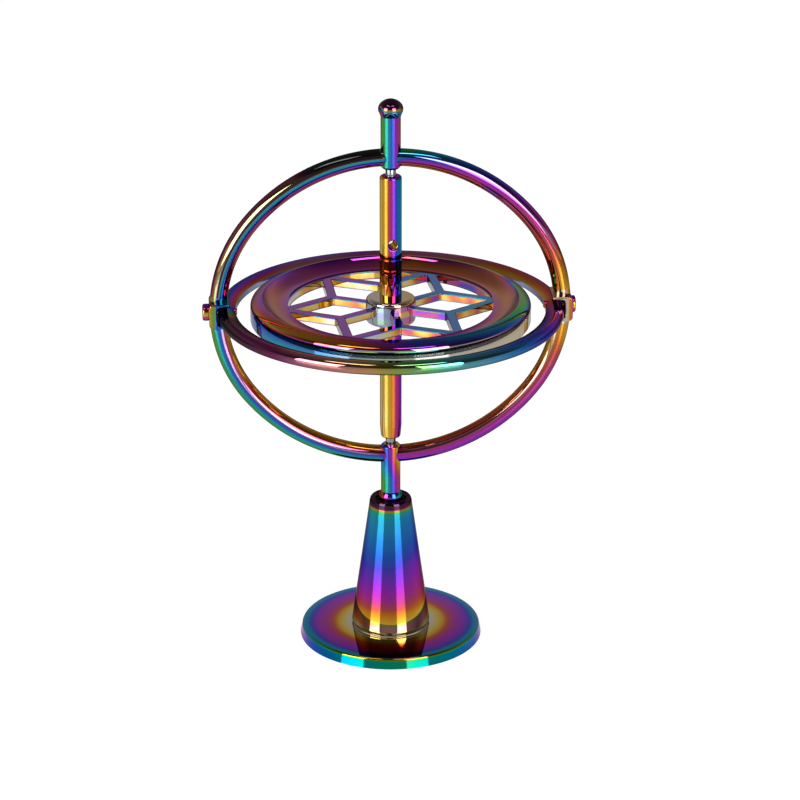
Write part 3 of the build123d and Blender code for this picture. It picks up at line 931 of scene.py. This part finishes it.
def crown_outline():
    """Outline of the rim's crown, easing down from the crest and then rounding off tightly."""
    # Slope in degrees and length of each step.
    gentle = [(5 + 33 * i / 20, 1.78 / 21) for i in range(21)]
    tight = [(38 + 43 * i / 14, 0.67 / 14) for i in range(1, 15)]
    reach = drop = 0.0
    points = [(0.0, 0.0)]
    for slope, step in gentle + tight:
        reach += step * math.cos(math.radians(slope))
        drop += step * math.sin(math.radians(slope))
        points.append((reach, drop))
    wide, tall = ROTOR_RADIUS - 0.02 - CREST_RADIUS, CREST_HEIGHT - CROWN_FOOT
    return [(CREST_RADIUS + wide * r / reach, CREST_HEIGHT - tall * d / drop)
            for r, d in reversed(points)]


def flywheel_pieces():
    """Rim, star web and hub as one piece."""
    dish = bulged((OPENING_RADIUS, WEB_TOP), (CREST_RADIUS, CREST_HEIGHT), 0.72, 28)
    under = eased([(OPENING_RADIUS, WEB_BOTTOM), (21.23, RIM_BOTTOM), (23.13, RIM_BOTTOM),
                   (ROTOR_RADIUS, -1.6, 0.2), (ROTOR_RADIUS, WALL_TOP)], closed=False)
    rim = lathe("rim", crown_outline() + dish[::-1][1:] + under, ROTOR_Z, sharp=50,
                segments=WIDE_TURN)
    web = plate("web", [circle(OPENING_RADIUS + 0.1, 240), circle(SPINDLE_RADIUS - 0.1, 60),
                        *star_openings()], ROTOR_Z + WEB_BOTTOM, ROTOR_Z + WEB_TOP, 0.12)
    bore = SPINDLE_RADIUS - 0.02
    hub = lathe("hub", eased([(bore, -HUB_HALF), (HUB_RADIUS, -HUB_HALF, 0.8),
                              (HUB_RADIUS, HUB_HALF, 0.8), (bore, HUB_HALF)]), ROTOR_Z)
    dress(join("star_flywheel", [rim, web, hub]),
          plated("rotor_plating", ROTOR_Z, rotor_film, strength=rotor_strength, edge=0.8),
          "rotor", "rotor_plating", "flywheel")


# ---- spindle and pivots ----

def drill(stem):
    """Cuts the chamfered string hole across the spindle."""
    heading = math.radians(HOLE_HEADING)
    along = Vector((math.cos(heading), math.sin(heading), 0))
    across = Vector((-along.y, along.x, 0))
    lift = (RING_Z + HOLE_HEIGHT) * MM
    past = 0.4
    reach, wide = SPINDLE_RADIUS + past, HOLE_RADIUS + HOLE_CHAMFER + past
    neck = SPINDLE_RADIUS - HOLE_CHAMFER
    cutter = lathe("string_cutter", [(0, -reach), (wide, -reach), (HOLE_RADIUS, -neck),
                                     (HOLE_RADIUS, neck), (wide, reach), (0, reach)], segments=64)
    for vertex in cutter.data.vertices:
        x, y, z = vertex.co
        vertex.co = along * z + across * x + Vector((0, 0, y + lift))
    cut = stem.modifiers.new("string_hole", "BOOLEAN")
    cut.object = cutter
    cut.solver = "EXACT"
    bpy.context.view_layer.update()
    evaluated = stem.evaluated_get(bpy.context.evaluated_depsgraph_get())
    mesh = bpy.data.meshes.new_from_object(evaluated)
    stem.modifiers.clear()
    stem.data = mesh
    bpy.data.objects.remove(cutter)


def set_round_normals(mesh, low, high):
    """Sets true radial normals on the round side between two heights in metres, so that the
    mirror stays even round the hole."""
    normals = [None] * len(mesh.loops)
    for polygon in mesh.polygons:
        outward = Vector((polygon.center.x, polygon.center.y, 0)).normalized()
        on_side = polygon.normal.dot(outward) > 0.995 and low < polygon.center.z < high
        for index in polygon.loop_indices:
            spot = mesh.vertices[mesh.loops[index].vertex_index].co
            radial = Vector((spot.x, spot.y, 0))
            normals[index] = radial.normalized() if on_side else Vector(
                mesh.corner_normals[index].vector)
    mesh.normals_split_custom_set(normals)


def stem_film(s):
    """Gold at the left over purple to blue at the right, and thinner below."""
    low = s.nx.line((-1, 0.08), (-0.3, 0.13), (0, 0.17), (0.3, 0.28), (0.6, 0.37), (0.85, 0.42),
                    (1, 0.48))
    high = s.nx.line((-1, 0.10), (-0.8, 0.13), (-0.45, 0.15), (-0.3, 0.25), (-0.12, 0.32),
                     (0.06, 0.37), (0.25, 0.46), (0.45, 0.54), (0.65, 0.63), (0.85, 0.68),
                     (1, 0.70))
    return low.blend(high, s.z.line((-8, 0), (10, 1)))


def spindle_pieces():
    """Drilled spindle, narrower at its lower end, and its two pivots."""
    ease = 0.45
    outline = [(0, SPINDLE_END)]
    outline += arc((SPINDLE_RADIUS - ease, SPINDLE_END - ease), (ease, ease), 90, 0, 10)
    outline += [(SPINDLE_RADIUS, 2.2 - SPINDLE_END)]
    outline += arc((1.23, ease - SPINDLE_END), (ease, ease), 0, -90, 10)
    outline += [(0, -SPINDLE_END)]
    stem = lathe("stem", outline, RING_Z)
    drill(stem)
    set_round_normals(stem.data, (RING_Z - 20.6) * MM, (RING_Z + 22.4) * MM)
    dress(stem, plated("stem_plating", RING_Z, stem_film, streaks=BRUSHED, coat=0.1),
          "rotor", "spindle_plating", "spindle")

    steel = plain_metal("ground_steel", (160, 166, 176), 0.08)
    for name, flip in (("upper_pivot", 1), ("lower_pivot", -1)):
        pin = [(0, SPINDLE_END - 1), (PIVOT_RADIUS, SPINDLE_END - 1),
               (PIVOT_RADIUS, PIVOT_SHOULDER), (0.12, PIVOT_POINT), (0, PIVOT_POINT)]
        dress(lathe(name + "_pin", pin, RING_Z, flip, segments=NARROW_TURN), steel,
              "rotor", "pivot_steel", name)


# ---- inner nodes ----

def inner_nodes():
    """Finishes of the bushes and the screw, which keep their CAD shape."""
    brass, steel = ((196, 160, 90), 0.25), ((150, 150, 152), 0.3)
    for node, finish in (("upper_bearing", brass), ("lower_bearing", brass),
                         ("stand_screw", steel)):
        nodes[node].data.materials.clear()
        nodes[node].data.materials.append(plain_metal(node + "_metal", *finish))


# ---- set, lamps and camera ----

def studio_floor():
    """Pale glossy table that keeps the object's soft shadow.

    It glows for the camera, so that the background is white, and faintly for mirrored rays,
    fading out where they graze it.
    """
    bpy.ops.mesh.primitive_plane_add(size=9.0, location=(0, 0, 0))
    floor = bpy.context.object
    floor.name = "table"
    material = bpy.data.materials.new("pale_table")
    material.use_nodes = True
    tree = material.node_tree
    shader = tree.nodes["Principled BSDF"]
    shader.inputs["Base Color"].default_value = (0.55, 0.55, 0.55, 1)
    shader.inputs["Roughness"].default_value = 0.15
    shader.inputs["Emission Color"].default_value = (1, 1, 1, 1)
    path = tree.nodes.new("ShaderNodeLightPath")
    camera_ray, glossy_ray, through_ray = (Term(tree, path.outputs[f"Is {kind} Ray"])
                                           for kind in ("Camera", "Glossy", "Transmission"))
    grazing = Term(tree, tree.nodes.new("ShaderNodeLayerWeight").outputs["Facing"])
    mirrored = glossy_ray * grazing.line((0.70, 1), (0.84, 0)) * MIRRORED_GLOW
    glow = (camera_ray + through_ray) * TABLE_GLOW + mirrored
    tree.links.new(glow.socket, shader.inputs["Emission Strength"])
    floor.data.materials.append(material)


def softbox(name, azimuth, elevation, width, height, radiance):
    """Rectangular lamp facing the object, its place given as the camera sees it."""
    heading = math.radians(CAMERA_HEADING + azimuth)
    rise = math.radians(elevation)
    aim = Vector((0, 0, 0.05))
    place = Vector((math.cos(heading) * math.cos(rise), math.sin(heading) * math.cos(rise),
                    math.sin(rise))) * LAMP_DISTANCE + aim
    data = bpy.data.lights.new(name, "AREA")
    data.shape = "RECTANGLE"
    data.size, data.size_y = width, height
    data.energy = radiance * math.pi * width * height
    lamp = bpy.data.objects.new(name, data)
    lamp.location = place
    lamp.rotation_euler = (aim - place).to_track_quat("-Z", "Y").to_euler()
    lamp.visible_camera = False
    bpy.context.scene.collection.objects.link(lamp)


def surroundings():
    """Grey wall behind, and a pale floor's light under a dark room in front."""
    world = bpy.data.worlds.new("studio")
    bpy.context.scene.world = world
    world.use_nodes = True
    tree = world.node_tree
    where = tree.nodes.new("ShaderNodeTexCoord")
    _, depth, rise = split(tree, where.outputs["Generated"])
    behind = rise.line((0.0, 0.12), (0.10, 0.22), (0.24, 0.40), (0.37, 0.43), (0.57, 0.22),
                       (0.85, 0.14))
    front = rise.line((0.0, 0.90), (0.03, 0.75), (0.08, 0.52), (0.18, 0.48), (0.27, 0.08),
                      (0.6, 0.05), (0.9, 0.08))
    light = behind.blend(front, depth.line((-0.15, 1), (0.35, 0)))
    tree.links.new(light.socket, tree.nodes["Background"].inputs["Color"])


def camera():
    """Camera at the photograph's place, turned so that the ring's centre is seen in its place."""
    data = bpy.data.cameras.new("camera")
    data.lens = LENS
    data.sensor_width = SENSOR
    data.clip_start = 0.01
    eye = bpy.data.objects.new("camera", data)
    bpy.context.scene.collection.objects.link(eye)
    eye.location = CAMERA_PLACE
    target = Vector((0, 0, RING_Z * MM))
    look = (target - eye.location).to_track_quat("-Z", "Y")
    focal, middle = PICTURE * LENS / SENSOR, PICTURE / 2
    seen_at = Vector(((RING_SEEN_AT[0] - middle) / focal, (middle - RING_SEEN_AT[1]) / focal, -1))
    turned = look @ Vector((0, 0, -1)).rotation_difference(seen_at).inverted()
    eye.rotation_euler = turned.to_euler()
    bpy.context.scene.camera = eye


stand_pieces()
frame_pieces()
flywheel_pieces()
spindle_pieces()
inner_nodes()
studio_floor()
for lamp in LAMPS:
    softbox(*lamp)
surroundings()
camera()
bpy.context.scene.view_settings.view_transform = "Standard"
